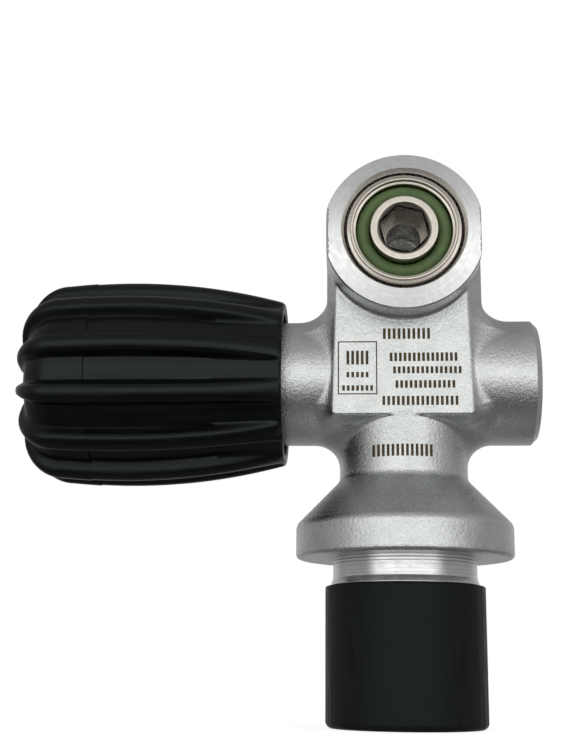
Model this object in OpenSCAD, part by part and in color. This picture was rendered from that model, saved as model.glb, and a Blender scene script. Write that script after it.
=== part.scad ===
// Scuba cylinder valve: forged body, removable outlet insert, gland-sealed spindle and rubber handwheel.
// Frame: origin at the centre of the flange's underside, where the valve seats on the tank neck.
// +Z runs up the body, the outlet faces -Y, the handwheel is on the -X side. Millimetres.

/* [Tank stem and flange] */
// Outer radius of the flange that seats on the tank neck
flange_r = 20.2; // [19:0.1:22]
// Height of the flange's cylindrical edge
flange_h = 6.1; // [4:0.1:7]
// Radius of the round collar between the cone and the crossing stubs
collar_r = 12; // [11.5:0.1:12.5]
// Height at which the cone runs into the collar
collar_z = 14.5; // [13:0.1:16]
// Radius of the turned shank under the flange
shank_r = 13.3; // [13.2:0.05:13.4]
// Crest radius of the tank thread
tank_thread_r = 13.2; // [13:0.05:13.25]
// Depth of the stem below the flange
stem_depth = 28; // [26:0.5:29]

/* [Body] */
// Height of the handwheel and side port axis above the flange's underside
stub_z = 33.5; // [32:0.1:35]
// Radius of the two side stubs
stub_r = 11.85; // [11.5:0.05:12]
// Distance from the stem axis to the face of each stub
stub_end_x = 25.1; // [24:0.1:26]
// Height of the outlet axis above the flange's underside
outlet_z = 58; // [56:0.1:60]
// Half the body block's width at its parting line
block_half_w = 14.4; // [13.5:0.1:15]
// Distance from the stem axis to the block's front face
block_face_y = 12.4; // [12:0.1:13]
// Height of the block's lower edge
block_bottom_z = 25.2; // [24:0.1:26]
// Radius of the concave blends at the stubs
blend_r = 4.8; // [3:0.1:5]

/* [Outlet] */
// Outer radius of the ring face around the outlet
outlet_ring_r = 14.8; // [14.4:0.1:15.2]
// Distance from the stem axis to the outlet's ring face
outlet_face_y = 20.2; // [19.5:0.1:21]
// Radius at which the mouth's chamfer starts
outlet_mouth_r = 11.6; // [11.4:0.1:12]
// Crest radius of the outlet thread
outlet_bore_r = 10.9; // [10.8:0.05:11]
// Depth of the outlet thread
outlet_depth = 15; // [14:0.5:15.5]
// Width across the flats of the insert's key hole
insert_key_af = 8; // [7:0.5:8.5]

/* [Handwheel] */
// Number of grip ribs
grip_ribs = 12; // [8:1:16]
// Largest radius over the grip's ribs
grip_r = 19.85; // [19:0.05:20.5]
// Depth of the grooves between the ribs
rib_depth = 2.2; // [1.5:0.1:3]
// Distance from the stem axis to the grip's inner rim
grip_rim_x = 22.4; // [22:0.1:24.5]
// Distance from the stem axis to the rib tips on the grip's closed end
grip_end_x = 72.4; // [71.5:0.1:74]

/* [Tank thread protector] */
// Outer radius of the protector
protector_r = 14.75; // [14.6:0.05:15.5]
// Height of the protector's open edge below the flange's underside
protector_top = 5; // [4.9:0.1:5.5]
// Overall length of the protector
protector_len = 25.3; // [25.2:0.1:27]

/* [Hidden] */
$fn = 64;

// Tank stem: 14 threads to the inch, drawn as rings
inch = 25.4;
pitch_14_tpi = inch / 14;
thread_depth = 1.1;
thread_top_z = -8;
shank_flare_r = 13.8;
shank_flare_top = -3.6;
inlet_r = 4;
stem_chamfer = 1.2;

// Body
block_draft = 0.9;
block_corner_r = 1.2;
edge_chamfer = 0.6;
drum_flat_x = 14.1;
back_boss_r = 11;
back_boss_y = 15.8;
dimple_r = 4.5;
dimple_depth = 2.6;
stub_chamfer = 1.05;
top_r = outlet_ring_r - 0.3;

// Outlet: ring face is coned back towards its rim
ring_cone = 1.6;
mouth_chamfer = outlet_mouth_r - outlet_bore_r;
outlet_floor_y = outlet_face_y - outlet_depth;
outlet_relief_r = 11.45;
outlet_relief_w = 2;
outlet_hole_r = 2.5;
crossdrill_r = 2;

// Valve chamber in the left stub; distances run outwards from the stem axis
orifice_r = 2.25;
seat_lip_x = 8;
seat_lip_r = 3.2;
chamber_floor_x = 7;
chamber_r = 7;
gland_floor_x = 20;
gland_r = 9.1;
gland_thread_clearance = 0.06;
o_ring_recess_r = 9.8;
o_ring_recess_w = 1.6;

// Running clearance between parts that turn or slide in each other
running = 0.05;

// Outlet insert
insert_r = outlet_bore_r - 0.06;
insert_front_y = 19.8;
insert_rear_y = outlet_floor_y + 0.3;
insert_boss_r = 6.18;
insert_boss_y = 20.15;
insert_groove_r = 8.8;
insert_groove_step_r = 9.3;
insert_groove_step_d = 0.7;
insert_groove_floor_y = 16.2;
insert_hole_r = 3.2;
insert_key_depth = 7;
insert_key_angle = -15;
insert_key_mouth_r = 4.8;
insert_key_mouth_d = 0.45;
insert_thread_groove = 0.7;
face_ring_minor_r = 1.24;
rear_ring_minor_r = 0.9;
rear_ring_major_r = 6.0;
rear_groove_d = 1.55;

// Gland and spindle
bonnet_af = 19;
bonnet_hex_end_x = 32;
bonnet_end_x = 36;
bonnet_boss_r = 7;
bonnet_thread_r = gland_r - gland_thread_clearance;
bonnet_cavity_r = 7.1;
bonnet_shoulder_x = 25.4;
bonnet_thread_pitch = 1.5;
spindle_r = 4;
spindle_bore_r = spindle_r + running;
spindle_flange_r = 6.8;
spindle_flange_x = [22.5, 24.5];
spindle_ring_grooves = [28, 32];
spindle_ring_groove_w = 1.9;
spindle_ring_groove_r = 2.8;
spindle_ring_minor_r = 0.6;
spindle_tongue = [2.8, 10];
spindle_tongue_x = 15.2;
spindle_square = 5.6;
spindle_square_x = [37.6, 49.5];
spindle_tail_r = 2.95;
spindle_tail_x = 66.5;
spindle_tail_pitch = 1;

// Seat carrier
carrier_r = chamber_r - running;
carrier_x = [8.6, 19];
carrier_slot_w = 3;
carrier_slot_x = 12;
carrier_pitch = 1;
seat_disc_r = 4.2;
seat_disc_x = [8.02, 10.2];

// Handwheel
grip_barrel_x = 52;
grip_rim_drop = 4.15;
grip_left_drop = 0.6;
grip_shoulder_x = 64;
grip_shoulder_r = 9.6;
grip_hole_r = 7;
grip_cavity_r = 13.7;
grip_cavity_end_x = 37.6;
grip_lip = 1.2;
grip_barrel_steps = 8;
rib_w = 4.6;
rib_turn = -17;
hub_r = 12.6;
hub_x = [37.7, 65.5];
hub_web_x = 48;
hub_pocket_r = 6.6;
hub_ridges_x = [42, 50, 58];
hub_ridge_w = 3;
hub_ridge_h = 1.2;
spring_r = 4.7;
spring_wire_r = 0.7;
spring_turns = 4.5;
spring_x = [48.75, 57.2];
spring_washer_x = [57.95, 59.1];
spring_washer_r = 6.3;
nut_af = 10;
nut_x = [59.1, 64.1];

// Side port plug
plug_thread_r = 7.95;
port_r = 8;
port_floor_x = 13;
plug_x = [14, 24.6];
plug_key_af = 6;
plug_key_depth = 6;
plug_ring_minor_r = 0.9;
plug_head_r = 9.4;
plug_head_w = 1.8;

// Thread protector
protector_floor = 1.6;
protector_edge = 1.2;
protector_bore_r = 13.45;
protector_relief_r = 13.9;
protector_relief_w = 0.6;

// Places a child made along +Z so that it runs along -X from the stub axis
module along_minus_x() translate([0, 0, stub_z]) rotate([0, -90, 0]) children();

// Places a child made along +Z so that it runs along +X from the stub axis
module along_plus_x() translate([0, 0, stub_z]) rotate([0, 90, 0]) children();

// Places a child made along +Z so that it runs along -Y from the outlet axis
module along_outlet() translate([0, 0, outlet_z]) rotate([90, 0, 0]) children();

// A cylinder between two distances along its axis
module span(from_to, r) translate([0, 0, from_to[0]]) cylinder(h = from_to[1] - from_to[0], r = r);

// A tube between two distances along its axis
module tube(from_to, r_out, r_in) difference() {
    span(from_to, r_out);
    span([from_to[0] - 1, from_to[1] + 1], r_in);
}

// An O-ring whose centre circle lies at a distance along its axis
module o_ring(at, major_r, minor_r)
    translate([0, 0, at]) rotate_extrude() translate([major_r, 0]) circle(r = minor_r, $fn = 32);

// V-grooves that stand for a thread, cut to a depth from a crest radius
module thread_grooves(from_to, crest_r, depth, pitch) {
    count = floor((from_to[1] - from_to[0]) / pitch);
    for (i = [0:count - 1])
        translate([0, 0, from_to[0] + (i + 0.5) * pitch])
            rotate_extrude()
                polygon([
                    [crest_r - depth, -pitch * 0.08], [crest_r + 0.4, -pitch * 0.5],
                    [crest_r + 0.4, pitch * 0.5], [crest_r - depth, pitch * 0.08]
                ]);
}

// A hexagonal prism measured across its flats
module hex_prism(from_to, af)
    translate([0, 0, from_to[0]]) cylinder(h = from_to[1] - from_to[0], r = af / sqrt(3), $fn = 6);

// Stem, shank, flange, cone and collar turned as one outline
module stem_and_flange()
    rotate_extrude() polygon([
        [0, -stem_depth], [tank_thread_r - stem_chamfer, -stem_depth],
        [tank_thread_r, -stem_depth + stem_chamfer], [tank_thread_r, -protector_top],
        [shank_flare_r, -protector_top], [shank_r, shank_flare_top], [shank_r, 0],
        [flange_r - edge_chamfer, 0], [flange_r, edge_chamfer], [flange_r, flange_h],
        [collar_r, collar_z], [collar_r, stub_z], [0, stub_z]
    ]);

// Outline of the block from above: widest at the parting line, drafted to both faces
module block_outline() {
    face_half_w = block_half_w - block_draft;
    polygon([
        [-face_half_w + block_corner_r, -block_face_y], [face_half_w - block_corner_r, -block_face_y],
        [face_half_w, -block_face_y + block_corner_r], [block_half_w, 0],
        [face_half_w, block_face_y - block_corner_r], [face_half_w - block_corner_r, block_face_y],
        [-face_half_w + block_corner_r, block_face_y], [-face_half_w, block_face_y - block_corner_r],
        [-block_half_w, 0], [-face_half_w, -block_face_y + block_corner_r]
    ]);
}

module block() {
    translate([0, 0, block_bottom_z]) linear_extrude(outlet_z - block_bottom_z) block_outline();
    intersection() {
        along_outlet() span([-block_face_y, block_face_y], top_r);
        translate([0, 0, outlet_z]) linear_extrude(flange_r) block_outline();
    }
}

// Drum around the outlet, with flats on its sides and a coned ring face
module outlet_drum() intersection() {
    along_outlet() union() {
        span([0, outlet_face_y - ring_cone], outlet_ring_r);
        translate([0, 0, outlet_face_y - ring_cone])
            cylinder(h = ring_cone, r1 = outlet_ring_r, r2 = outlet_mouth_r);
    }
    translate([-drum_flat_x, -flange_r * 2, 0]) cube([drum_flat_x * 2, flange_r * 4, outlet_z * 2]);
}

// One side stub with its turned chamfer
module stub() {
    span([0, stub_end_x - stub_chamfer], stub_r);
    translate([0, 0, stub_end_x - stub_chamfer])
        cylinder(h = stub_chamfer, r1 = stub_r, r2 = stub_r - stub_chamfer);
}

// Concave web that fills the corner at the origin towards +X and +Y
module corner_web(depth) translate([0, depth / 2, 0]) rotate([90, 0, 0]) linear_extrude(depth)
    difference() {
        square(blend_r);
        translate([blend_r, blend_r]) circle(r = blend_r);
    }

// Blends from the stubs up to the block and down to the collar
module stub_blends() for (side = [0, 1]) mirror([side, 0, 0]) {
    translate([block_half_w - block_draft, 0, stub_z + stub_r - 0.4]) corner_web(stub_r * 0.9);
    translate([collar_r - 0.2, 0, stub_z - stub_r + 0.2]) mirror([0, 0, 1]) corner_web(stub_r * 0.7);
}

module body_solid() {
    stem_and_flange();
    block();
    outlet_drum();
    along_minus_x() stub();
    along_plus_x() stub();
    stub_blends();
    translate([0, 0, outlet_z]) rotate([-90, 0, 0]) span([0, back_boss_y], back_boss_r);
}

// Gas way up the stem to the seat, and the chamber and gland bores of the left stub
module seat_bores() {
    translate([0, 0, -stem_depth - 1]) cylinder(h = stub_z + stem_depth + 1, r = inlet_r);
    along_minus_x() {
        span([0, seat_lip_x + 1], orifice_r);
        difference() {
            span([chamber_floor_x, gland_floor_x + 1], chamber_r);
            span([0, seat_lip_x], seat_lip_r);
        }
        span([gland_floor_x, stub_end_x + 1], gland_r);
        span([stub_end_x - o_ring_recess_w, stub_end_x + 1], o_ring_recess_r);
    }
}

module outlet_bores() {
    along_outlet() {
        span([outlet_floor_y, outlet_face_y + 1], outlet_bore_r);
        span([outlet_floor_y, outlet_floor_y + outlet_relief_w], outlet_relief_r);
        translate([0, 0, outlet_face_y - mouth_chamfer])
            cylinder(h = mouth_chamfer + 1, r1 = outlet_bore_r, r2 = outlet_mouth_r + 1);
        span([0, outlet_floor_y + 1], outlet_hole_r);
    }
    // slanted gas way from the chamber up to the outlet floor
    rise = outlet_z - stub_z;
    run = chamber_floor_x + 2.5;
    translate([0, 0, outlet_z]) rotate([0, 180 + atan2(run, rise), 0])
        cylinder(h = sqrt(rise * rise + run * run) - 4, r = crossdrill_r);
}

module port_bores() along_plus_x() {
    span([0, port_floor_x + 1], orifice_r);
    span([port_floor_x, stub_end_x + 1], port_r);
    span([plug_x[1] - plug_head_w, stub_end_x + 1], plug_head_r + running);
}

module yoke_dimple() translate([0, back_boss_y - dimple_depth, outlet_z]) rotate([-90, 0, 0])
    cylinder(h = dimple_depth + 0.01, r1 = 0.4, r2 = dimple_r);

module valve_body() color([0.78, 0.79, 0.8]) difference() {
    body_solid();
    seat_bores();
    outlet_bores();
    port_bores();
    yoke_dimple();
    thread_grooves([-stem_depth + stem_chamfer, thread_top_z], tank_thread_r, thread_depth, pitch_14_tpi);
}

module outlet_insert() color([0.74, 0.7, 0.64]) along_outlet() difference() {
    union() {
        span([insert_rear_y, insert_front_y], insert_r);
        span([insert_front_y - 1, insert_boss_y], insert_boss_r);
    }
    tube([insert_groove_floor_y, insert_front_y + 1], insert_groove_r, insert_boss_r);
    tube([insert_front_y - insert_groove_step_d, insert_front_y + 1], insert_groove_step_r, insert_boss_r);
    span([insert_rear_y - 1, insert_boss_y + 1], insert_hole_r);
    rotate([0, 0, insert_key_angle])
        hex_prism([insert_boss_y - insert_key_depth, insert_boss_y + 1], insert_key_af);
    span([insert_boss_y - insert_key_mouth_d, insert_boss_y + 1], insert_key_mouth_r);
    tube([insert_rear_y - 1, insert_rear_y + rear_groove_d],
        rear_ring_major_r + rear_ring_minor_r + running, rear_ring_major_r - rear_ring_minor_r - running);
    thread_grooves([insert_rear_y + 1, insert_front_y - 1], insert_r, insert_thread_groove, pitch_14_tpi);
}

module insert_face_o_ring() color([0.33, 0.43, 0.25]) along_outlet()
    o_ring(insert_groove_floor_y + face_ring_minor_r,
        insert_groove_r - face_ring_minor_r - running, face_ring_minor_r);

module insert_rear_o_ring() color([0.08, 0.08, 0.08]) along_outlet()
    o_ring(outlet_floor_y + rear_ring_minor_r, rear_ring_major_r, rear_ring_minor_r - running / 2);

module thread_protector() color([0.09, 0.1, 0.11]) translate([0, 0, -protector_top - protector_len])
    difference() {
        union() {
            cylinder(h = protector_edge, r1 = protector_r - protector_edge, r2 = protector_r);
            span([protector_edge, protector_len], protector_r);
        }
        span([protector_floor, protector_len + 1], protector_bore_r);
        span([protector_len - protector_relief_w, protector_len + 1], protector_relief_r);
    }

module bonnet_nut() color([0.72, 0.72, 0.7]) along_minus_x() difference() {
    union() {
        span([gland_floor_x + 0.2, stub_end_x], bonnet_thread_r);
        hex_prism([stub_end_x, bonnet_hex_end_x], bonnet_af);
        span([stub_end_x, bonnet_end_x], bonnet_boss_r);
    }
    span([gland_floor_x - 1, bonnet_shoulder_x], bonnet_cavity_r);
    span([gland_floor_x, bonnet_end_x + 1], spindle_bore_r);
    tube([stub_end_x - o_ring_recess_w, stub_end_x], gland_r + 1, gland_r - 0.9);
    thread_grooves([gland_floor_x + 0.3, stub_end_x - o_ring_recess_w], bonnet_thread_r, 0.6,
        bonnet_thread_pitch);
}

module bonnet_o_ring() color([0.08, 0.08, 0.08]) along_minus_x()
    o_ring(stub_end_x - o_ring_recess_w / 2, (o_ring_recess_r + gland_r - 0.9) / 2, o_ring_recess_w / 2 - 0.02);

module drive_spindle() color([0.68, 0.66, 0.6]) along_minus_x() difference() {
    union() {
        span([spindle_flange_x[0], spindle_square_x[0]], spindle_r);
        span(spindle_flange_x, spindle_flange_r);
        intersection() {
            translate([-spindle_tongue[1] / 2, -spindle_tongue[0] / 2, spindle_tongue_x])
                cube([spindle_tongue[1], spindle_tongue[0], spindle_flange_x[0] - spindle_tongue_x + 0.5]);
            span([spindle_tongue_x, spindle_flange_x[1]], carrier_r - 1);
        }
        translate([-spindle_square / 2, -spindle_square / 2, spindle_square_x[0] - 0.5])
            cube([spindle_square, spindle_square, spindle_square_x[1] - spindle_square_x[0] + 0.5]);
        span([spindle_square_x[1] - 0.5, spindle_tail_x], spindle_tail_r);
    }
    for (at = spindle_ring_grooves)
        tube([at - spindle_ring_groove_w / 2, at + spindle_ring_groove_w / 2], spindle_r + 1,
            spindle_ring_groove_r);
    thread_grooves([spindle_square_x[1] + 0.5, spindle_tail_x - 0.5], spindle_tail_r, 0.5,
        spindle_tail_pitch);
}

module spindle_o_ring(index) color([0.08, 0.08, 0.08]) along_minus_x()
    o_ring(spindle_ring_grooves[index], spindle_ring_groove_r + spindle_ring_minor_r, spindle_ring_minor_r);

module spindle_outer_o_ring() spindle_o_ring(1);

module spindle_inner_o_ring() spindle_o_ring(0);

module spindle_friction_washer() color([0.93, 0.93, 0.9]) along_minus_x()
    tube([spindle_flange_x[1], bonnet_shoulder_x], spindle_flange_r, spindle_bore_r);

module seat_carrier() color([0.75, 0.68, 0.45]) along_minus_x() difference() {
    span(carrier_x, carrier_r);
    span([carrier_x[0] - 1, seat_disc_x[1]], seat_disc_r);
    translate([-carrier_r - 1, -carrier_slot_w / 2, carrier_slot_x])
        cube([carrier_r * 2 + 2, carrier_slot_w, carrier_x[1]]);
    thread_grooves([carrier_x[0] + 0.7, carrier_x[1] - 0.7], carrier_r, 0.5, carrier_pitch);
}

module seat_disc() color([0.92, 0.92, 0.86]) along_minus_x() span(seat_disc_x, seat_disc_r);

// Radius of the grip over its ribs at a distance from the stem axis, up to its shoulder
function grip_profile_r(x) = x < grip_barrel_x
    ? grip_r - grip_rim_drop * pow((grip_barrel_x - x) / (grip_barrel_x - grip_rim_x), 2)
    : grip_r - grip_left_drop * pow((x - grip_barrel_x) / (grip_shoulder_x - grip_barrel_x), 2);

// Half outline of the grip, drawn inset by a depth: barrel curve, then a round shoulder
function grip_outline(inset) = let (
    shoulder_top = grip_profile_r(grip_shoulder_x) - inset,
    shoulder_end = grip_end_x - inset / 2,
    reach = shoulder_end - grip_shoulder_x
) concat(
    [for (i = [0:grip_barrel_steps - 1])
        let (x = grip_rim_x + i * (grip_shoulder_x - grip_rim_x) / grip_barrel_steps)
            [grip_profile_r(x) - inset, x]],
    [for (a = [0:15:90])
        [shoulder_top - grip_shoulder_r * (1 - cos(a)), grip_shoulder_x + reach * sin(a)]]
);

module grip_turned(inset) rotate_extrude() polygon(concat(
    [[0, grip_rim_x]], grip_outline(inset), [[0, grip_end_x - inset / 2]]
));

// Ribs along the barrel, cut from the full outline so that their tops follow it
module grip_ribs_solid() intersection() {
    grip_turned(0);
    for (i = [0:grip_ribs - 1]) rotate([0, 0, rib_turn + i * 360 / grip_ribs])
        translate([grip_cavity_r, -rib_w / 2, grip_rim_x + grip_lip]) cube([rib_w * 2, rib_w, grip_end_x]);
}

// Narrower ridges where the ribs wrap over the closed end
module end_ribs_solid() intersection() {
    grip_turned(0);
    for (i = [0:grip_ribs - 1]) rotate([0, 0, rib_turn + i * 360 / grip_ribs])
        translate([grip_hole_r + 1, -rib_w / 4, grip_shoulder_x]) cube([rib_w * 3, rib_w / 2, grip_shoulder_x]);
}

module handwheel_grip() color([0.1, 0.11, 0.12]) along_minus_x() difference() {
    union() {
        grip_turned(rib_depth);
        grip_ribs_solid();
        end_ribs_solid();
    }
    span([grip_rim_x - 1, grip_cavity_end_x], grip_cavity_r);
    hub_bulk(hub_x[0] - 1);
    span([hub_x[1] - 1, grip_end_x + 1], grip_hole_r);
}

// Outside of the hub with its ridges, which the grip is moulded around
module hub_bulk(start_x) {
    span([start_x, hub_x[1]], hub_r);
    for (at = hub_ridges_x) span([at, at + hub_ridge_w], hub_r + hub_ridge_h);
}

module handwheel_hub() color([0.2, 0.2, 0.22]) along_minus_x() difference() {
    hub_bulk(hub_x[0]);
    span([hub_web_x, hub_x[1] + 1], hub_pocket_r);
    translate([-spindle_square / 2 - running, -spindle_square / 2 - running, hub_x[0] - 1])
        cube([spindle_square + 2 * running, spindle_square + 2 * running, hub_web_x - hub_x[0] + 2]);
}

module hub_slip_washer() color([0.9, 0.9, 0.88]) along_minus_x()
    tube([bonnet_end_x + running, hub_x[0] - running], bonnet_boss_r, spindle_bore_r + running);

// Points of one wire section of the spring, at a share of its length
function spring_section(share, sides) = let (turn = share * spring_turns * 360)
    [for (k = [0:sides - 1]) let (a = k * 360 / sides, r = spring_r + spring_wire_r * cos(a)) [
        r * cos(turn), r * sin(turn),
        spring_x[0] + share * (spring_x[1] - spring_x[0]) + spring_wire_r * sin(a)
    ]];

module handwheel_spring() color([0.7, 0.7, 0.72]) along_minus_x() {
    steps = 90;
    sides = 8;
    polyhedron(
        points = [for (s = [0:steps]) each spring_section(s / steps, sides)],
        faces = concat(
            [for (s = [0:steps - 1], k = [0:sides - 1])
                [s * sides + k, s * sides + (k + 1) % sides,
                    (s + 1) * sides + (k + 1) % sides, (s + 1) * sides + k]],
            [[for (k = [sides - 1:-1:0]) k]],
            [[for (k = [0:sides - 1]) steps * sides + k]]
        )
    );
}

module spring_washer() color([0.75, 0.75, 0.76]) along_minus_x()
    tube(spring_washer_x, spring_washer_r, spindle_tail_r + running);

module handwheel_nut() color([0.78, 0.78, 0.78]) along_minus_x() difference() {
    hex_prism(nut_x, nut_af);
    span([nut_x[0] - 1, nut_x[1] + 1], spindle_tail_r + running);
}

module side_port_plug() color([0.76, 0.77, 0.78]) along_plus_x() difference() {
    union() {
        span(plug_x, plug_thread_r);
        span([plug_x[1] - plug_head_w, plug_x[1]], plug_head_r);
    }
    hex_prism([plug_x[1] - plug_key_depth, plug_x[1] + 1], plug_key_af);
    tube([plug_x[0] + 1, plug_x[0] + 1 + 2 * plug_ring_minor_r], plug_thread_r + 1,
        plug_thread_r - 2 * plug_ring_minor_r);
    thread_grooves([plug_x[0] + 3.5, plug_x[1] - plug_head_w - 0.3], plug_thread_r, 0.6,
        bonnet_thread_pitch);
}

module side_plug_o_ring() color([0.08, 0.08, 0.08]) along_plus_x()
    o_ring(plug_x[0] + 1 + plug_ring_minor_r, plug_thread_r - plug_ring_minor_r + 0.06,
        plug_ring_minor_r - 0.02);

valve_body();
outlet_insert();
insert_face_o_ring();
insert_rear_o_ring();
thread_protector();
bonnet_nut();
bonnet_o_ring();
drive_spindle();
spindle_outer_o_ring();
spindle_inner_o_ring();
spindle_friction_washer();
seat_carrier();
seat_disc();
handwheel_grip();
handwheel_hub();
hub_slip_washer();
handwheel_spring();
spring_washer();
handwheel_nut();
side_port_plug();
side_plug_o_ring();
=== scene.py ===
import math

import bmesh
import bpy
import numpy as np
from mathutils import Matrix, Vector


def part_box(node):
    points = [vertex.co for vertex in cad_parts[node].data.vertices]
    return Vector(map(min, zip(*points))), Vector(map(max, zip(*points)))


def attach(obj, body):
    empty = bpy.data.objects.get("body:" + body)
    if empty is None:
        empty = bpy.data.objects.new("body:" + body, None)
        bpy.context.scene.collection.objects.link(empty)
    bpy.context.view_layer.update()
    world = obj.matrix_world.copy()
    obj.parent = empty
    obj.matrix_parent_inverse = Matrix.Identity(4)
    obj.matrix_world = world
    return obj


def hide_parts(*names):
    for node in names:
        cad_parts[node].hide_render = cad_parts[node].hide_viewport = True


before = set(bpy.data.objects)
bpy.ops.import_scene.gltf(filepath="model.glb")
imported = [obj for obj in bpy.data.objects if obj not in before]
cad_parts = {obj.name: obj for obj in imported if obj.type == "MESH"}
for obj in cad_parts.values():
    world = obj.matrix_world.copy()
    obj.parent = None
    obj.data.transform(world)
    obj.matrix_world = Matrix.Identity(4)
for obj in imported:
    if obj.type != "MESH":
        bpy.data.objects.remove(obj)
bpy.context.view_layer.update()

MM = 0.001
TURN = 2 * math.pi

# The stem is on the Z axis. The stubs lie along X at STUB_Z, and the outlet faces -Y at OUTLET_Z.
STUB_Z = 33.5
OUTLET_Z = 58.0
FLOOR_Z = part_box("thread_protector")[0].z
PITCH = 25.4 / 14

FACE_Y = 12.4
FACE_BOTTOM = 25.1
BLOCK_HALF = 14.4
FLARE = 3.2
COLLAR_R = 12.0
STUB_R = 11.85
STUB_END = 25.1
STUB_CHAMFER = 1.05
FLANGE_R = 20.2
FLANGE_TOP = 6.1
CONE_SLOPE = 8.2 / 8.4
DRUM_R = 14.8
DRUM_FLAT = 14.1
OUTLET_Y = 20.2
BOSS_R = 11.0
BOSS_Y = 15.8
DIMPLE_R = 4.5
DIMPLE_SLOPE = 1.58


# ---- mesh makers ----------------------------------------------------------------------------------------

def new_mesh(name, points, faces, sharp=32):
    """An object from points in millimetres, smooth except across edges sharper than an angle in degrees."""
    mesh = bpy.data.meshes.new(name)
    mesh.from_pydata((np.asarray(points, float) * MM).tolist(), [], [list(f) for f in faces])
    mesh.shade_smooth()
    mesh.set_sharp_from_angle(angle=math.radians(sharp))
    piece = bpy.data.objects.new(name, mesh)
    bpy.context.scene.collection.objects.link(piece)
    return piece


def rounded(corners, steps=5):
    """An outline from corners (radius, distance along the axis, fillet), each fillet drawn as an arc."""
    points = []
    for k, (r, a, fillet) in enumerate(corners):
        here = np.array([r, a], float)
        if not fillet or k in (0, len(corners) - 1):
            points.append(here)
            continue
        before = np.array(corners[k - 1][:2], float) - here
        after = np.array(corners[k + 1][:2], float) - here
        before /= np.linalg.norm(before)
        after /= np.linalg.norm(after)
        half = math.acos(np.clip(before @ after, -1, 1)) / 2
        reach = fillet / math.tan(half)
        start, end = here + before * reach, here + after * reach
        centre = here + (before + after) / np.linalg.norm(before + after) * fillet / math.sin(half)
        for s in np.linspace(0, 1, steps + 1):
            chord = start + (end - start) * s - centre
            points.append(centre + chord / np.linalg.norm(chord) * fillet)
    return np.array(points)


def filled(outline, longest):
    """The same outline with points added so that no step is longer than a length."""
    points = [outline[0]]
    for a, b in zip(outline[:-1], outline[1:]):
        count = max(1, math.ceil(np.linalg.norm(b - a) / longest))
        points += [a + (b - a) * k / count for k in range(1, count + 1)]
    return np.array(points)


def polar_mesh(name, radius, along, axis, closed, start=0.0, sharp=32):
    """A surface from rows of radius and distance along an axis, one column for each angle around it.

    The axis is "stem" (up), "outlet" (to the front) or "left" (out along the left stub)."""
    rows, columns = radius.shape
    angle = start + np.arange(columns) * TURN / columns
    c, s = radius * np.cos(angle), radius * np.sin(angle)
    if axis == "stem":
        points = np.stack([c, s, along], -1)
    elif axis == "outlet":
        points = np.stack([c, -along, OUTLET_Z + s], -1)
    else:
        points = np.stack([-along, s, STUB_Z + c], -1)
    faces = []
    for i in range(rows if closed else rows - 1):
        a, b = i * columns, (i + 1) % rows * columns
        for j in range(columns):
            k = (j + 1) % columns
            faces.append((a + j, b + j, b + k, a + k))
    piece = new_mesh(name, points.reshape(-1, 3), faces, sharp)
    settle(piece)
    return piece


def settle(piece):
    """Merges what meets at an axis and turns the faces outwards."""
    bm = bmesh.new()
    bm.from_mesh(piece.data)
    bmesh.ops.remove_doubles(bm, verts=bm.verts, dist=1e-7)
    bmesh.ops.dissolve_degenerate(bm, edges=bm.edges, dist=1e-8)
    bmesh.ops.recalc_face_normals(bm, faces=bm.faces)
    bm.to_mesh(piece.data)
    bm.free()


def turned(name, outline, axis, columns=128, closed=True, shape=None, start=0.0, sharp=32):
    """A lathe piece; shape(angle, radius, along) may move its points."""
    radius = np.repeat(outline[:, :1], columns, 1)
    along = np.repeat(outline[:, 1:2], columns, 1)
    if shape:
        angle = start + np.arange(columns) * TURN / columns
        radius, along = shape(np.broadcast_to(angle, radius.shape), radius, along)
    return polar_mesh(name, radius, along, axis, closed, start, sharp)


def thread(angle, along):
    """Share of a thread's depth, from 0 at its crest to 1 at its root."""
    share = np.mod(along / PITCH + angle / TURN, 1)
    return np.clip((np.abs(2 * share - 1) - 0.12) / 0.76, 0, 1)


def window(value, low, high, soft):
    """1 between two distances, falling to 0 over a soft length at each end."""
    return np.clip((value - low) / soft, 0, 1) * np.clip((high - value) / soft, 0, 1)


# ---- forged body ----------------------------------------------------------------------------------------

def join(a, b, r):
    """Both solids, with a concave blend of a radius where they meet."""
    return np.maximum(r, np.minimum(a, b)) - np.hypot(np.maximum(r - a, 0), np.maximum(r - b, 0))


def common(a, b, r):
    """What is in both solids, with a convex edge of a radius."""
    return np.minimum(-r, np.maximum(a, b)) + np.hypot(np.maximum(r + a, 0), np.maximum(r + b, 0))


def block_field(x, y, z):
    """Block with flared edges round its face, rounder lower corners behind, and a round top."""
    over = z - OUTLET_Z
    behind = np.clip((FACE_Y - np.abs(y)) / FLARE, 0, 1)
    face_half = np.clip(12.85 - 0.035 * (z - 26), 12.15, 12.95)
    half = face_half + (BLOCK_HALF - face_half) * behind
    centre = np.where(y < 0, -0.45 + 0.6 * behind, 0.15)
    side = np.where(over > 0, np.hypot(x - centre, over), np.abs(x - centre)) - half
    under = FACE_BOTTOM - 1.2 * behind - z
    corner = 0.8 + 2.2 * behind
    return common(common(side, under, corner) * 0.88, np.abs(y) - FACE_Y, 0.35)


def stub_field(x, stub_rho):
    """Both stubs as one bar through the block, with chamfered ends."""
    bar = np.maximum(stub_rho - STUB_R, np.abs(x) - STUB_END)
    chamfer = (stub_rho - STUB_R + np.abs(x) - (STUB_END - STUB_CHAMFER)) / math.sqrt(2)
    return np.maximum(bar, chamfer)


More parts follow.
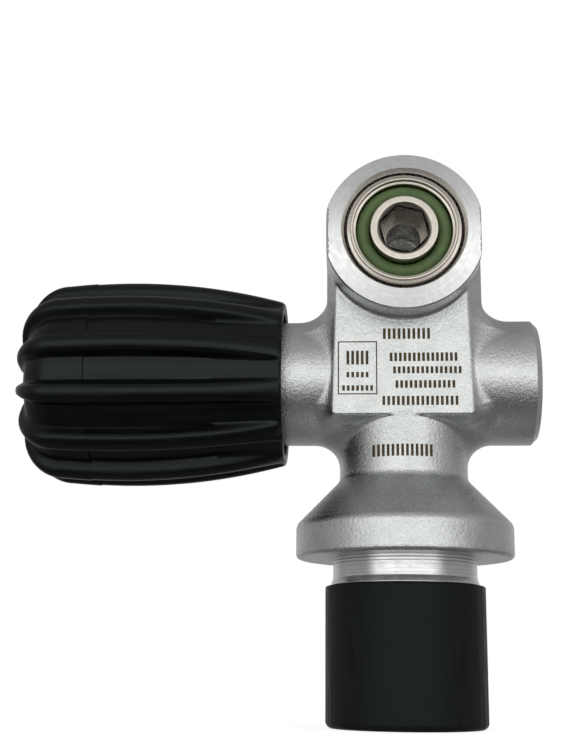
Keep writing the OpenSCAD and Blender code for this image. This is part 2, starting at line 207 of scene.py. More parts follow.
def collar_field(z, stem_rho):
    """Flange, its cone, and the round collar that swells to meet the block's face."""
    cone = (stem_rho - FLANGE_R + (z - FLANGE_TOP) * CONE_SLOPE) / math.hypot(1, CONE_SLOPE)
    flange = common(common(cone, stem_rho - FLANGE_R, 0.5), -z, 0.8)
    swell = COLLAR_R + 0.43 * np.clip((z - 20) / 5, 0, 1) * np.clip((26.4 - z) / 1.2, 0, 1)
    collar = np.maximum(stem_rho - swell, np.maximum(z - STUB_Z, 5 - z))
    return join(collar, np.maximum(flange, z - 18), 0.5)


def drum_field(x, y, out_rho):
    """Outlet drum with a slight draft, side flats and a coned face."""
    drum = out_rho - DRUM_R + 0.1 * np.clip(y + 12, 0, 12)
    drum = common(drum, np.abs(x + 0.1) - DRUM_FLAT, 0.3)
    coned = (-y - (OUTLET_Y - 0.12) + (out_rho - 11.6) * 0.5) / math.hypot(1, 0.5)
    return np.maximum(common(drum, coned, 0.3), y)


def bore_fields(x, y, z, stub_rho, stem_rho, out_rho):
    """What is cut out of the forging, by name."""
    return {
        "outlet": np.maximum(out_rho - 11.5, y + 5.2),
        "ring seat": np.maximum(out_rho - 13, y + 19.1),
        "outlet hole": np.maximum(out_rho - 2.5, np.abs(y + 3) - 3),
        "inlet": np.maximum(stem_rho - 4, z - STUB_Z),
        "orifice": np.maximum(stub_rho - 2.25, np.abs(x - 2) - 12),
        "chamber": np.maximum(stub_rho - 7, x + 7),
        "gland": np.maximum(stub_rho - 9.1, x + 20),
        "gland recess": np.maximum(stub_rho - 9.8, x + 23.5),
        "side port": np.maximum(stub_rho - 8, 13 - x),
        "side recess": np.maximum(stub_rho - 9.45, 22.8 - x),
        "dimple": (out_rho - DIMPLE_R + (BOSS_Y - y) * DIMPLE_SLOPE) / math.hypot(1, DIMPLE_SLOPE),
    }


def forging(p):
    """Signed distance to the forged and machined body, without its stem."""
    x, y, z = p[:, 0], p[:, 1], p[:, 2]
    stub_rho = np.maximum(np.hypot(y, z - STUB_Z), 1e-6)
    stem_rho = np.maximum(np.hypot(x, y), 1e-6)
    out_rho = np.hypot(x, z - OUTLET_Z)

    # the stubs' blend narrows where the block stands little above them, and below them
    rise = np.clip(FACE_Y * stub_rho / np.maximum(np.abs(y), 1e-6) - STUB_R, 0.3, 4.8)
    rise = np.where(z > STUB_Z, rise, np.minimum(rise, 2.4))
    body = join(block_field(x, y, z), stub_field(x, stub_rho), rise)

    # the collar's blend is wide at the sides, and small where it runs into the face
    apart = np.clip(1 - y * y / (stub_rho * stem_rho), 0, 1)
    merge = 0.5 * np.exp(-(x / 3.2) ** 2) * np.clip((26 - z) / 2, 0, 1) * (y < 0)
    body = join(body, collar_field(z, stem_rho), np.maximum(4.8 * apart * apart, 0.1 + merge))

    body = join(body, drum_field(x, y, out_rho), 0.6)
    boss = common(np.maximum(out_rho - BOSS_R, -y), y - BOSS_Y, 0.8)
    body = join(body, boss, 1.2)
    for bore in bore_fields(x, y, z, stub_rho, stem_rho, out_rho).values():
        body = np.maximum(body, -bore)
    return body


def slopes(field, p, step=0.01):
    """Unit direction in which a field grows, at each point."""
    g = np.empty_like(p)
    for k in range(3):
        d = np.zeros(3)
        d[k] = step
        g[:, k] = field(p + d) - field(p - d)
    return g / np.maximum(np.linalg.norm(g, axis=1, keepdims=True), 1e-9)


def contour(field, low, high, pitch):
    """Points and quads of a field's zero surface, with edges kept crisp by the surface's own slopes."""
    axes = [np.arange(a, b + pitch, pitch) for a, b in zip(low, high)]
    shape = tuple(len(a) for a in axes)
    grid = np.stack(np.meshgrid(*axes, indexing="ij"), -1).reshape(-1, 3)
    value = np.concatenate([field(part) for part in np.array_split(grid, 16)]).reshape(shape)
    inside = value < 0
    cells = np.array(shape) - 1
    total = int(np.prod(cells))
    normal_sum = np.zeros((total, 6))
    pull = np.zeros((total, 3))
    middle = np.zeros((total, 3))
    count = np.zeros(total)
    quads = []
    for axis in range(3):
        others = [k for k in range(3) if k != axis]
        near = [slice(None)] * 3
        far = [slice(None)] * 3
        near[axis], far[axis] = slice(0, -1), slice(1, None)
        for k in others:
            near[k] = far[k] = slice(1, -1)
        near, far = tuple(near), tuple(far)
        where = np.argwhere(inside[near] != inside[far])
        for k in others:
            where[:, k] += 1
        v0 = value[tuple(where.T)]
        ahead = where.copy()
        ahead[:, axis] += 1
        v1 = value[tuple(ahead.T)]
        a = np.stack([axes[k][where[:, k]] for k in range(3)], 1)
        b = a.copy()
        b[:, axis] += pitch
        lo, hi, flo, fhi = a.copy(), b.copy(), v0.copy(), v1.copy()
        for _ in range(6):
            t = np.clip(flo / (flo - fhi), 0.05, 0.95)[:, None]
            mid = lo + (hi - lo) * t
            fm = field(mid)
            same = (fm < 0) == (flo < 0)
            lo[same], flo[same] = mid[same], fm[same]
            hi[~same], fhi[~same] = mid[~same], fm[~same]
        t = (flo / (flo - fhi))[:, None]
        hit = lo + (hi - lo) * t
        n = slopes(field, hit)
        reach = (n * hit).sum(1)
        entering = v0 < 0
        ring = []
        p, q = others
        for dp, dq in ((0, 0), (-1, 0), (-1, -1), (0, -1)):
            cell = where.copy()
            cell[:, p] += dp
            cell[:, q] += dq
            index = np.ravel_multi_index(tuple(cell.T), tuple(cells))
            ring.append(index)
            for k, (i, j) in enumerate(((0, 0), (1, 1), (2, 2), (0, 1), (0, 2), (1, 2))):
                normal_sum[:, k] += np.bincount(index, n[:, i] * n[:, j], total)
            for k in range(3):
                pull[:, k] += np.bincount(index, n[:, k] * reach, total)
                middle[:, k] += np.bincount(index, hit[:, k], total)
            count += np.bincount(index, minlength=total)
        ring = np.stack(ring, 1)
        flip = entering if axis != 1 else ~entering
        ring[~flip] = ring[~flip][:, ::-1]
        quads.append(ring)
    used = np.flatnonzero(count)
    m = normal_sum[used]
    c = middle[used] / count[used][:, None]
    ata = np.stack([m[:, 0], m[:, 3], m[:, 4], m[:, 3], m[:, 1], m[:, 5], m[:, 4], m[:, 5], m[:, 2]], 1)
    ata = ata.reshape(-1, 3, 3)
    rest = pull[used] - np.einsum("nij,nj->ni", ata, c)
    point = c + np.linalg.solve(ata + 0.08 * np.eye(3), rest[..., None])[..., 0]
    corner = np.array(low) + np.stack(np.unravel_index(used, tuple(cells)), 1) * pitch
    point = np.clip(point, corner, corner + pitch)
    for _ in range(3):
        point -= field(point)[:, None] * slopes(field, point)
    slot = np.full(total, -1)
    slot[used] = np.arange(len(used))
    return point, slot[np.concatenate(quads)]


def forged_piece(name, field, low, high, pitch):
    """A contoured piece whose corners carry the field's own slopes, so its shading is clean."""
    points, quads = contour(field, low, high, pitch)
    mesh = bpy.data.meshes.new(name)
    mesh.from_pydata((points * MM).tolist(), [], quads.tolist())
    mesh.shade_smooth()
    centre = points[quads].mean(1)
    corner = points[quads] * 0.75 + centre[:, None] * 0.25
    n = slopes(field, corner.reshape(-1, 3))
    mesh.normals_split_custom_set(n.tolist())
    piece = bpy.data.objects.new(name, mesh)
    bpy.context.scene.collection.objects.link(piece)
    return piece


CELL = 0.46
body = forged_piece("body_forging", forging, (-25.7, -20.9, -0.5), (25.7, 21.0, 73.2), CELL)


# ---- stem, outlet thread and outlet face ----------------------------------------------------------------

STEM_DEPTH = 1.1
OUTLET_DEPTH = 0.5


def stem_shape(angle, r, a):
    """Helical tank thread, and fine turned lines on the shank above it."""
    cut = thread(angle, a) * window(a, -27.3, -7.5, 1.2) * (r > 10)
    lines = np.where((r > 13.25) & (a > -3.4) & (a < -0.05), 0.035 * np.abs(np.sin(a * 5.3)), 0)
    return r - STEM_DEPTH * cut - lines, a


def liner_shape(angle, r, a):
    """Helical thread inside the outlet."""
    cut = thread(angle, a) * window(a, 6.2, 18.9, 0.8) * (r < 11.2)
    return r + OUTLET_DEPTH * cut, a


stem = turned("body_stem", filled(rounded([
    (4, 1.5, 0), (4, -27.6, 0), (4.4, -28, 0), (12, -28, 0.2), (13.2, -26.8, 0.2), (13.2, -5, 0.05),
    (13.75, -4.9, 0.15), (13.3, -3.6, 0.6), (13.3, 1.5, 0),
]), 0.12), "stem", 144, shape=stem_shape, sharp=75)

liner = turned("outlet_thread", filled(rounded([
    (11.55, 5.0, 0), (11.55, 20.1, 0), (11.45, 20.05, 0.05), (10.95, 19.1, 0.1), (10.9, 5.0, 0),
]), 0.15), "outlet", 144, shape=liner_shape, sharp=75)

TREADS = 16
RING_INNER = 11.5
RING_OUTER = 14.62
RING_FLAT = 13.9
RING_FALL = 0.48
TREAD_SLOPE = math.tan(math.radians(11))


def ring_rows():
    """Outlet face as fine turned steps: treads nearly flat, on a cone that falls away outwards."""
    edges = np.linspace(RING_INNER, RING_OUTER, TREADS + 1)
    rows = [(RING_INNER, 19.3)]
    for r0, r1 in zip(edges[:-1], edges[1:]):
        top = OUTLET_Y - (r0 - RING_INNER) * RING_FALL
        rows += [(r0, top), (r1 - 0.01, top - (r1 - r0) * TREAD_SLOPE)]
    return np.array(rows + [(RING_OUTER, rows[-1][1] - 0.35), (12.9, 19.0)])


def ring_shape(angle, r, a):
    """Cuts the ring off along the drum's side flats."""
    reach = np.minimum(RING_OUTER, RING_FLAT / np.maximum(np.abs(np.cos(angle)), 1e-6))
    return np.minimum(r, reach), np.where(r > reach, a - 0.3, a)


ring = turned("outlet_ring", ring_rows(), "outlet", 240, shape=ring_shape, sharp=20)

# ---- outlet insert --------------------------------------------------------------------------------------
HEX_FLAT = 4.0
HEX_TURN = math.radians(-15)
INSERT_Y = 20.15
LIP_R = 4.95


def hex_radius(angle):
    """Distance from the axis to the key hole's flats."""
    local = np.mod(angle - HEX_TURN, TURN / 6) - TURN / 12
    return HEX_FLAT / np.cos(local)


def insert_shape(angle, r, a):
    """Thread outside, and a hex key hole whose lip is a cone. Rows within 2 mm become the hex."""
    cut = thread(angle, a) * window(a, 6.2, 18.3, 0.6) * (r > 10.6)
    socket = r < 2.0
    across = hex_radius(angle)
    lip = socket & (a > 19)
    return np.where(socket, across, r - OUTLET_DEPTH * cut), np.where(lip, INSERT_Y - (LIP_R - across), a)


insert_rows = np.vstack([
    filled(rounded([
        (3.2, 5.55, 0), (5.0, 5.5, 0.1), (5.0, 7.0, 0), (7.0, 7.0, 0), (7.0, 5.5, 0.1), (10.84, 5.5, 0.5),
        (10.84, 18.5, 0.1), (10.35, 19.35, 0.1), (9.85, 19.5, 0.1), (9.7, 19.8, 0.1), (9.35, 19.8, 0.1),
        (9.25, 19.1, 0.05), (8.8, 19.0, 0.1), (8.8, 16.2, 0.2),
        (6.18, 16.2, 0.2), (6.18, INSERT_Y, 0.22), (LIP_R, INSERT_Y, 0),
    ]), 0.2),
    [(1, 19.9), (1, 19.0), (1, 16.0), (1, 13.15), (3.2, 13.15), (3.2, 9.0)],
])
insert = turned("outlet_insert_body", insert_rows, "outlet", 144, shape=insert_shape, start=HEX_TURN,
                sharp=55)

# ---- protector ------------------------------------------------------------------------------------------
protector = turned("thread_sleeve", filled(rounded([
    (0, -30.3, 0), (14.75, -30.3, 1.2), (14.75, -5, 0.35), (13.9, -5, 0.1), (13.9, -5.6, 0.05),
    (13.45, -5.6, 0.1), (13.45, -28.7, 0.4), (0, -28.7, 0),
]), 1.0), "stem", 160, closed=False)

# ---- handwheel grip -------------------------------------------------------------------------------------
RIBS = 12
RIB_TURN = math.radians(-17)


BARREL_START = 22.9
BARREL_END = 64.0
GRIP_END = 72.4
SHOULDER_R = 9.6
END_HOLE_R = 7.9
STEP_X = 58.7
RIB_COLUMNS = 30


def grip_tip(x):
    """Radius over the ribs at a distance from the stem axis, along the barrel."""
    rim = 19.85 - 4.15 * np.clip((52 - x) / 29.6, 0, 1) ** 2
    return rim - 0.6 * np.clip((x - 52) / 12, 0, 1) ** 2


def grip_outline():
    """Radius and distance over the ribs, from the skirt along the barrel, shoulder and end face."""
    step_rows = STEP_X + np.array([-0.25, -0.15, -0.05, 0.05])
    barrel = np.sort(np.concatenate([np.linspace(BARREL_START, BARREL_END, 70), step_rows]))
    shoulder = np.radians(np.linspace(4, 90, 30))
    top = float(grip_tip(np.array(BARREL_END)))
    face = np.linspace(top - SHOULDER_R, END_HOLE_R, 7)[1:]
    return np.vstack([
        np.stack([grip_tip(barrel), barrel], 1),
        np.stack([top - SHOULDER_R * (1 - np.cos(shoulder)),
                  BARREL_END + (GRIP_END - BARREL_END) * np.sin(shoulder)], 1),
        np.stack([face, np.full_like(face, GRIP_END)], 1),
    ])


def groove_depth(outer, offset):
    """How far the surface lies below the rib tips: grooves, crowned ribs, and a moulding step."""
    r, x = outer[:, :1], outer[:, 1:2]
    across = np.abs(r * offset[None, :])
    past = np.clip((x - 62) / 9, 0, 1) * np.clip((20 - r) / 6, 0, 1)
    half = 2.15 - 0.95 * past
    edge = np.clip((across - half + 0.5) / 1.1, 0, 1)
    groove = edge * edge * (3 - 2 * edge)
    crown = 0.36 * np.clip(across / half, 0, 1) ** 2
    depth = 0.5 + 1.9 * np.clip((x - 22.6) / 12, 0, 1) ** 0.7
    depth = np.minimum(depth, 2.4 - 0.9 * past)
    step = 0.3 * np.clip((STEP_X - x) / 0.2, 0, 1) * np.clip((x - 24) / 20, 0, 1)
    return depth * (groove + crown * (1 - groove)) + step * (0.4 + 0.6 * groove)


def ribbed_grip():
    """Ribbed outside and plain bore, as one closed surface."""
    outer = grip_outline()
    ahead = np.gradient(outer, axis=0)
    ahead /= np.linalg.norm(ahead, axis=1, keepdims=True)
    inward = np.stack([-ahead[:, 1], ahead[:, 0]], 1)
    bore = rounded([
        (END_HOLE_R, GRIP_END, 0), (7.0, 71.9, 0.35), (7.0, 65.5, 0), (12.6, 65.5, 0), (12.6, 37.7, 0),
        (13.7, 37.6, 0), (13.7, 22.5, 0.25), (15.4, 22.4, 0.5), (15.9, BARREL_START, 0),
    ])[1:-1]
    columns = RIBS * RIB_COLUMNS
    around = np.arange(columns) * TURN / columns
    offset = np.mod(around + TURN / RIBS / 2, TURN / RIBS) - TURN / RIBS / 2
    sunk = groove_depth(outer, offset)
    radius = np.vstack([outer[:, :1] + inward[:, :1] * sunk, np.repeat(bore[:, :1], columns, 1)])
    along = np.vstack([outer[:, 1:2] + inward[:, 1:2] * sunk, np.repeat(bore[:, 1:2], columns, 1)])
    return polar_mesh("grip_moulding", radius, along, "left", True, RIB_TURN, 40)


grip = ribbed_grip()

# ---- etched frame and bars on the front -----------------------------------------------------------------


def etched(name, rows, depth=0.25, proud=0.012):
    """Thin inlays flush with the block's front or the collar, one a box (x0, x1, z0, z1, on the collar)."""
    points, faces = [], []
    for x0, x1, z0, z1, on_collar in rows:
        xs = np.linspace(x0, x1, 2 + int(on_collar) * 2)
        base = len(points)
        for x in xs:
            y = -math.sqrt(COLLAR_R ** 2 - x * x) if on_collar else -FACE_Y
            for z in (z0, z1):
                points.append((x, y - proud, z))
                points.append((x, y + depth, z))
        count = len(xs)
        for k in range(count - 1):
            a, b = base + 4 * k, base + 4 * (k + 1)
            faces += [(a, b, b + 2, a + 2), (a + 1, a + 3, b + 3, b + 1),
                      (a, a + 1, b + 1, b), (a + 2, b + 2, b + 3, a + 3)]
        last = base + 4 * (count - 1)
        faces += [(base, base + 2, base + 3, base + 1), (last, last + 1, last + 3, last + 2)]
    piece = new_mesh(name, points, faces)
    settle(piece)
    return piece


def hatch(x0, x1, z0, z1, on_collar=False, stroke=0.5, gap=0.34):
    """A bar filled with upright strokes."""
    count = max(1, int((x1 - x0 + gap) / (stroke + gap)))
    spare = (x1 - x0 - count * stroke) / max(1, count - 1)
    return [(x0 + k * (stroke + spare), x0 + k * (stroke + spare) + stroke, z0, z1, on_collar)
            for k in range(count)]


def border(x0, x1, z0, z1, line=0.22):
    """A frame of four thin boxes."""
    return [(x0, x1, z1 - line, z1, False), (x0, x1, z0, z0 + line, False),
            (x0, x0 + line, z0 + line, z1 - line, False), (x1 - line, x1, z0 + line, z1 - line, False)]


mark_rows = border(-12.2, -5.0, 28.8, 38.8)
for bar in ((-10.6, -6.6, 34.4, 37.0), (-10.6, -6.6, 32.0, 33.0), (-11.4, -5.8, 29.5, 30.5),
            (-3.9, 4.7, 39.2, 41.2), (-2.7, 9.6, 35.0, 36.6), (-2.1, 10.3, 32.7, 34.0),
            (-1.7, 9.1, 30.0, 31.4), (-4.1, 9.6, 26.8, 28.5)):
    mark_rows += hatch(*bar)
mark_rows += hatch(-6.0, 4.9, 17.6, 19.8, True)
marks = etched("etched_marks", mark_rows)

# ---- materials ------------------------------------------------------------------------------------------


def material(name, colour, roughness, metallic=0.0, **sockets):
    """A new principled material and its node tree, with values the same all over set on the shader."""
    made = bpy.data.materials.new(name)
    made.use_nodes = True
    shader = made.node_tree.nodes["Principled BSDF"]
    shader.inputs["Base Color"].default_value = (*colour, 1)
    shader.inputs["Roughness"].default_value = roughness
    shader.inputs["Metallic"].default_value = metallic
    for key, value in sockets.items():
        shader.inputs[key.replace("_", " ")].default_value = value
    return made, made.node_tree, shader


def node(tree, kind, wires=(), **values):
    """A node, with wires as (input, output socket) and values for its other inputs or properties."""
    n = tree.nodes.new("ShaderNode" + kind)
    for key, value in values.items():
        label = key.replace("_", " ")
        if label in n.inputs.keys():
            n.inputs[label].default_value = value
        else:
            setattr(n, key, value)
    for key, output in wires:
        tree.links.new(output, n.inputs[key])
    return n


def place(tree, scale=(1, 1, 1)):
    """Object coordinates in metres, stretched along each axis."""
    at = node(tree, "TexCoord")
    return node(tree, "Mapping", [("Vector", at.outputs["Object"])], Scale=scale).outputs["Vector"]


def noise(tree, at, size, detail=2.0, roughness=0.5):
    """Noise whose features are about a size in millimetres."""
    return node(tree, "TexNoise", [("Vector", at)], Scale=1 / (size * MM), Detail=detail,
                Roughness=roughness).outputs["Fac"]


def spread(tree, value, low, high, start=0.35, end=0.65):
    """A value stretched from one range onto another."""
    return node(tree, "MapRange", [("Value", value)], From_Min=start, From_Max=end, To_Min=low,
                To_Max=high).outputs["Result"]


def bump(tree, shader, layers):
    """Bumps of (height, distance in millimetres, strength), one over the other."""
    normal = None
    for height, distance, strength in layers:
        wires = [("Height", height)] + ([("Normal", normal)] if normal else [])
        n = node(tree, "Bump", wires, Strength=strength, Distance=distance * MM)
        normal = n.outputs["Normal"]
    tree.links.new(normal, shader.inputs["Normal"])


def shade_mix(tree, factor, low, high):
    """A colour between two, by a factor. Each is a colour or another node's output."""
    n = node(tree, "Mix", data_type="RGBA")
    for key, colour in (("A", low), ("B", high)):
        if isinstance(colour, bpy.types.NodeSocket):
            tree.links.new(colour, n.inputs[key])
        else:
            n.inputs[key].default_value = (*colour, 1)
    tree.links.new(factor, n.inputs["Factor"])
    return n.outputs["Result"]


def satin_chrome():
    """Blasted and plated forging: fine grain, soft pores, and painted shade that darkens its colour inside
    its corners.
    """
    made, tree, shader = material("satin_chrome", (0.66, 0.67, 0.68), 0.34, 1.0)
    at = place(tree)
    grain, pores, cloud = noise(tree, at, 0.22, 3, 0.7), noise(tree, at, 0.6, 3), noise(tree, at, 4, 3)
    tree.links.new(spread(tree, grain, 0.2, 0.38), shader.inputs["Roughness"])
    clean = shade_mix(tree, spread(tree, cloud, 0, 1), (0.64, 0.66, 0.645), (0.72, 0.74, 0.725))
    # Painted shade: an occlusion mask darkens the base colour towards (0.26, 0.26, 0.24) in corners and
    # creases.
    open_share = node(tree, "AmbientOcclusion", samples=8, Distance=2.5 * MM).outputs["AO"]
    tone = shade_mix(tree, spread(tree, open_share, 0, 1, 0.25, 0.8), (0.26, 0.26, 0.24), clean)
    tree.links.new(tone, shader.inputs["Base Color"])
    bump(tree, shader, [(pores, 0.12, 0.65), (grain, 0.06, 0.9)])
    return made


def machined(name, colour, along_axis, ring=0.09, roughness=(0.14, 0.26), strength=0.35):
    """Turned metal: fine rings across the axis it was turned about."""
    made, tree, shader = material(name, colour, roughness[0], 1.0)
    scale = [0.06] * 3
    scale[along_axis] = 1
    rings = noise(tree, place(tree, scale), ring, 3, 0.6)
    wear = noise(tree, place(tree), 1.5, 3)
    tree.links.new(spread(tree, wear, *roughness), shader.inputs["Roughness"])
    tree.links.new(shade_mix(tree, spread(tree, rings, 0, 1), [c * 0.9 for c in colour],
                             [min(1, c * 1.06) for c in colour]), shader.inputs["Base Color"])
    bump(tree, shader, [(rings, 0.02, strength)])
    return made


def faced(name, colour, ring=0.1, roughness=(0.16, 0.28), strength=0.3, painted_shade_within=None):
    """Metal turned about the outlet axis: rings round it, and painted shade, half its colour, within a
    radius of it.
    """
    made, tree, shader = material(name, colour, roughness[0], 1.0)
    at = place(tree)
    split = node(tree, "SeparateXYZ", [("Vector", at)])
    lift = node(tree, "Math", [(0, split.outputs["Z"])], operation="SUBTRACT")
    lift.inputs[1].default_value = OUTLET_Z * MM
    flat = node(tree, "CombineXYZ", [("X", split.outputs["X"]), ("Y", lift.outputs[0])])
    reach = node(tree, "VectorMath", [(0, flat.outputs[0])], operation="LENGTH").outputs["Value"]
    line = node(tree, "CombineXYZ", [("X", reach), ("Y", split.outputs["Y"])]).outputs[0]
    rings = noise(tree, line, ring, 3, 0.6)
    wear = noise(tree, at, 1.2, 3)
    tree.links.new(spread(tree, wear, *roughness), shader.inputs["Roughness"])
    tone = shade_mix(tree, spread(tree, rings, 0, 1), [c * 0.86 for c in colour],
                     [min(1, c * 1.05) for c in colour])
    if painted_shade_within:
        # Painted shade: the colour is halved inside this radius, darkening a recess such as the key hole.
        outside = spread(tree, reach, 0, 1, painted_shade_within * MM, (painted_shade_within + 0.15) * MM)
        tone = shade_mix(tree, outside, [c * 0.5 for c in colour], tone)
    tree.links.new(tone, shader.inputs["Base Color"])
    bump(tree, shader, [(rings, 0.02, strength)])
    return made


def rubber(name, dark, light, roughness, streak_axis=None, grain=0.2, strength=0.4, gloss=0.25):
    """Moulded rubber: soft mottling, fine grain, and faint streaks along an axis."""
    made, tree, shader = material(name, dark, roughness[0], Specular_IOR_Level=gloss,
                                  Specular_Tint=(0.88, 0.98, 1, 1))
    at = place(tree)
    scale = [1.0] * 3
    if streak_axis is not None:
        scale[streak_axis] = 0.12
    streaks = noise(tree, place(tree, scale), 1.6, 4, 0.6)
    skin = noise(tree, at, grain, 3, 0.65)
    tree.links.new(spread(tree, streaks, *roughness), shader.inputs["Roughness"])
    tree.links.new(shade_mix(tree, spread(tree, streaks, 0, 1), dark, light), shader.inputs["Base Color"])
    bump(tree, shader, [(streaks, 0.05, strength * 0.5), (skin, 0.02, strength)])
    return made


def ink():
    """Brown-black of a laser mark."""
    made, tree, shader = material("etched_dark", (0.05, 0.035, 0.02), 0.55, 0.3)
    burn = noise(tree, place(tree), 0.25, 3)
    tree.links.new(shade_mix(tree, spread(tree, burn, 0, 1), (0.035, 0.022, 0.008), (0.12, 0.075, 0.025)),
                   shader.inputs["Base Color"])
    bump(tree, shader, [(burn, 0.01, 0.3)])
    return made


LOOKS = {
    "satin_chrome": satin_chrome(),
    "machined_chrome": machined("machined_chrome", (0.74, 0.74, 0.74), 2),
    "outlet_chrome": faced("outlet_chrome", (0.72, 0.72, 0.72)),
    "ring_chrome": faced("ring_chrome", (0.8, 0.81, 0.8), 0.14, (0.24, 0.36), 0.2),
    # Painted shade darkens the insert's key hole within 4.85 mm of the outlet axis.
    "insert_nickel": faced("insert_nickel", (0.66, 0.61, 0.54), roughness=(0.2, 0.34), painted_shade_within=4.85),
    "side_chrome": machined("side_chrome", (0.74, 0.74, 0.74), 0),
    "green_rubber": rubber("green_rubber", (0.11, 0.18, 0.065), (0.15, 0.225, 0.09), (0.36, 0.48)),
    "black_rubber": rubber("black_rubber", (0.012, 0.012, 0.013), (0.02, 0.02, 0.02), (0.35, 0.5)),
    "grip_rubber": rubber("grip_rubber", (0.0015, 0.0018, 0.0022), (0.004, 0.0045, 0.0055), (0.25, 0.38), 0,
                          gloss=0.29),
    "protector_plastic": rubber("protector_plastic", (0.009, 0.0105, 0.012), (0.014, 0.016, 0.018),
                                (0.3, 0.55), 2, gloss=0.12),
    "spindle_steel": machined("spindle_steel", (0.6, 0.58, 0.54), 0),
    "seat_brass": machined("seat_brass", (0.72, 0.57, 0.3), 0),
    "white_plastic": rubber("white_plastic", (0.78, 0.78, 0.75), (0.86, 0.86, 0.83), (0.4, 0.5)),
    "hub_plastic": rubber("hub_plastic", (0.03, 0.03, 0.034), (0.045, 0.045, 0.05), (0.4, 0.55)),
    "spring_steel": machined("spring_steel", (0.66, 0.66, 0.66), 0, 0.05),
    "etched_dark": ink(),
}


def dress(piece, look, body_name=None):
    """Gives a piece its material, and a new piece its body and material slot too."""
    piece.data.materials.clear()
    piece.data.materials.append(LOOKS[look])
    if body_name:
        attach(piece, body_name)


dress(body, "satin_chrome", "valve")
dress(stem, "machined_chrome", "valve")
dress(liner, "outlet_chrome", "valve")
dress(ring, "ring_chrome", "valve")
dress(marks, "etched_dark", "valve")
dress(insert, "insert_nickel", "insert")
dress(protector, "protector_plastic", "protector")
dress(grip, "grip_rubber", "handwheel")
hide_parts("valve_body")
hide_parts("outlet_insert")
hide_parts("thread_protector")
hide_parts("handwheel_grip")
for name, look in {
    "insert_face_o_ring": "green_rubber", "insert_rear_o_ring": "black_rubber", "bonnet_nut": "side_chrome",
    "bonnet_o_ring": "black_rubber", "drive_spindle": "spindle_steel",
    "spindle_outer_o_ring": "black_rubber", "spindle_inner_o_ring": "black_rubber",
    "spindle_friction_washer": "white_plastic",
    "seat_carrier": "seat_brass", "seat_disc": "white_plastic", "handwheel_hub": "hub_plastic",
    "hub_slip_washer": "white_plastic", "handwheel_spring": "spring_steel", "spring_washer": "spring_steel",
    "handwheel_nut": "side_chrome", "side_port_plug": "side_chrome", "side_plug_o_ring": "black_rubber",
}.items():
    dress(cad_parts[name], look)

# ---- stage, light and camera ----------------------------------------------------------------------------
scene = bpy.context.scene
scene.view_settings.view_transform = "Standard"


def panel(name, at, target, size, power):
    """A rectangular softbox aimed at a point; lengths in metres."""
    light = bpy.data.lights.new(name, "AREA")
    light.shape = "RECTANGLE"
    light.size, light.size_y = size
    light.energy = power
    obj = bpy.data.objects.new(name, light)
    obj.location = at
    obj.rotation_euler = (Vector(target) - Vector(at)).to_track_quat("-Z", "Y").to_euler()
    obj.visible_camera = False
    scene.collection.objects.link(obj)


panel("front_softbox", (0.1, -0.9, 0.42), (0, 0, 0.03), (1.2, 0.5), 0.3)


def math_node(tree, operation, a, b):
    """A sum, product or the like of two numbers or outputs."""
    n = node(tree, "Math", operation=operation)
    for k, value in enumerate((a, b)):
        if isinstance(value, (int, float)):
            n.inputs[k].default_value = value
        else:
            tree.links.new(value, n.inputs[k])
    return n.outputs[0]


def ramp(tree, value, start, end, low, high):
    """A soft change from low to high while a value goes from start to end."""
    n = node(tree, "MapRange", [("Value", value)], interpolation_type="SMOOTHSTEP", From_Min=start,
             From_Max=end, To_Min=low, To_Max=high)
    return n.outputs["Result"]


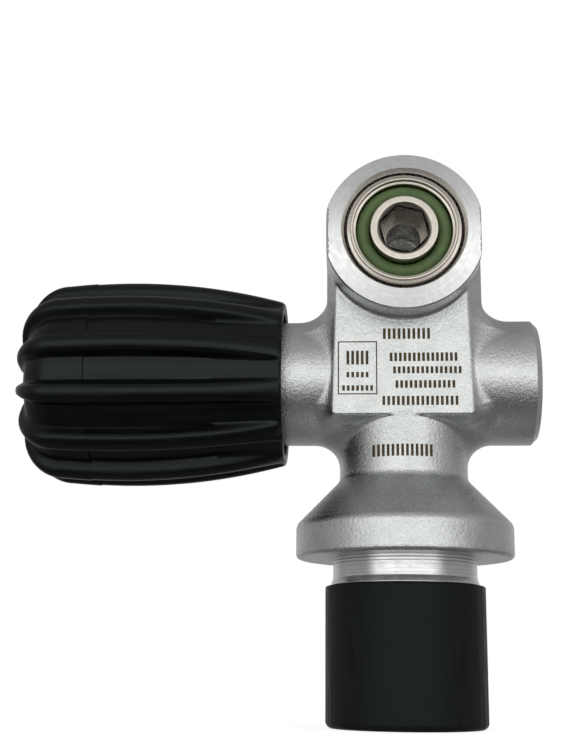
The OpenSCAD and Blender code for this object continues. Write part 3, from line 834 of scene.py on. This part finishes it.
def studio(wall_level=1.14):
    """Room light by direction: a bright wall in front, dim sides, dark below, and white to the camera."""
    world = bpy.data.worlds.new("studio")
    world.use_nodes = True
    tree = world.node_tree
    toward = node(tree, "TexCoord").outputs["Generated"]
    split = node(tree, "SeparateXYZ", [("Vector", toward)])
    x, y, z = (split.outputs[key] for key in "XYZ")

    aside = math_node(tree, "ABSOLUTE", x, 0)
    facing = math_node(tree, "SUBTRACT", math_node(tree, "MULTIPLY", y, -1),
                       math_node(tree, "MULTIPLY", aside, 0.5))
    front = ramp(tree, facing, -0.05, 0.45, 0, 1)
    above_low = ramp(tree, z, -0.55, 0.1, 0, 1)
    below_high = ramp(tree, z, 0.21, 0.48, 1, 0.15)
    wall = math_node(tree, "MULTIPLY", math_node(tree, "MULTIPLY", front, above_low),
                     math_node(tree, "MULTIPLY", below_high, wall_level))

    sides = math_node(tree, "ADD", math_node(tree, "MULTIPLY", aside, 0.1),
                      ramp(tree, z, -0.5, 0.3, 0.08, 0.26))
    table = ramp(tree, z, -0.8, -1.0, 0, 0.1)
    behind = math_node(tree, "MULTIPLY", ramp(tree, y, 0.5, 0.9, 0, 0.25), ramp(tree, z, 0.5, 0.2, 0, 1))
    dim = math_node(tree, "ADD", math_node(tree, "ADD", sides, table), behind)

    level = node(tree, "Mix", data_type="FLOAT")
    tree.links.new(node(tree, "LightPath").outputs["Is Camera Ray"], level.inputs["Factor"])
    tree.links.new(math_node(tree, "ADD", wall, dim), level.inputs["A"])
    level.inputs["B"].default_value = 1.0
    back = tree.nodes["Background"]
    back.inputs["Color"].default_value = (1, 1, 1, 1)
    tree.links.new(level.outputs["Result"], back.inputs["Strength"])
    return world


scene.world = studio()


def pale_floor(half=3.0, gap=0.00002):
    """A plain floor just under the part, in metres. It glows a little, and doesn't light the part."""
    mesh = bpy.data.meshes.new("floor")
    z = FLOOR_Z - gap
    corners = [(-half, -half, z), (half, -half, z), (half, half, z), (-half, half, z)]
    mesh.from_pydata(corners, [], [(0, 1, 2, 3)])
    piece = bpy.data.objects.new("floor", mesh)
    scene.collection.objects.link(piece)
    made, tree, shader = material("pale_floor", (0.85, 0.85, 0.85), 0.9)
    shader.inputs["Emission Color"].default_value = (1, 1, 1, 1)
    shader.inputs["Emission Strength"].default_value = 0.75
    fleck = noise(tree, place(tree), 30, 2)
    tree.links.new(spread(tree, fleck, 0.85, 0.95), shader.inputs["Roughness"])
    mesh.materials.append(made)
    piece.visible_glossy = False
    piece.visible_diffuse = False
    return piece


floor = pale_floor()


def fitted_camera(at, pitch_up, yaw_left, roll, focal_length, sensor_width=36, nearest=0.005):
    """A camera at a place in millimetres, turned up, to the left and about its view by degrees."""
    up, left, tilt = (math.radians(degrees) for degrees in (pitch_up, yaw_left, roll))
    level_ahead = Vector((-math.sin(left), math.cos(left), 0))
    forward = level_ahead * math.cos(up) + Vector((0, 0, math.sin(up)))
    level_right = Vector((math.cos(left), math.sin(left), 0))
    level_up = level_right.cross(forward)
    right = level_right * math.cos(tilt) + level_up * math.sin(tilt)
    upward = level_up * math.cos(tilt) - level_right * math.sin(tilt)
    lens = bpy.data.cameras.new("camera")
    lens.sensor_width = sensor_width
    lens.lens = focal_length
    lens.clip_start = nearest
    camera = bpy.data.objects.new("camera", lens)
    turn = Matrix((right, upward, -forward)).transposed().to_4x4()
    camera.matrix_world = Matrix.Translation(Vector(at) * MM) @ turn
    scene.collection.objects.link(camera)
    return camera


scene.camera = fitted_camera((-8.40, -237.41, -20.30), 13.18, 3.589, 0.545, 60.62)

bpy.context.view_layer.update()
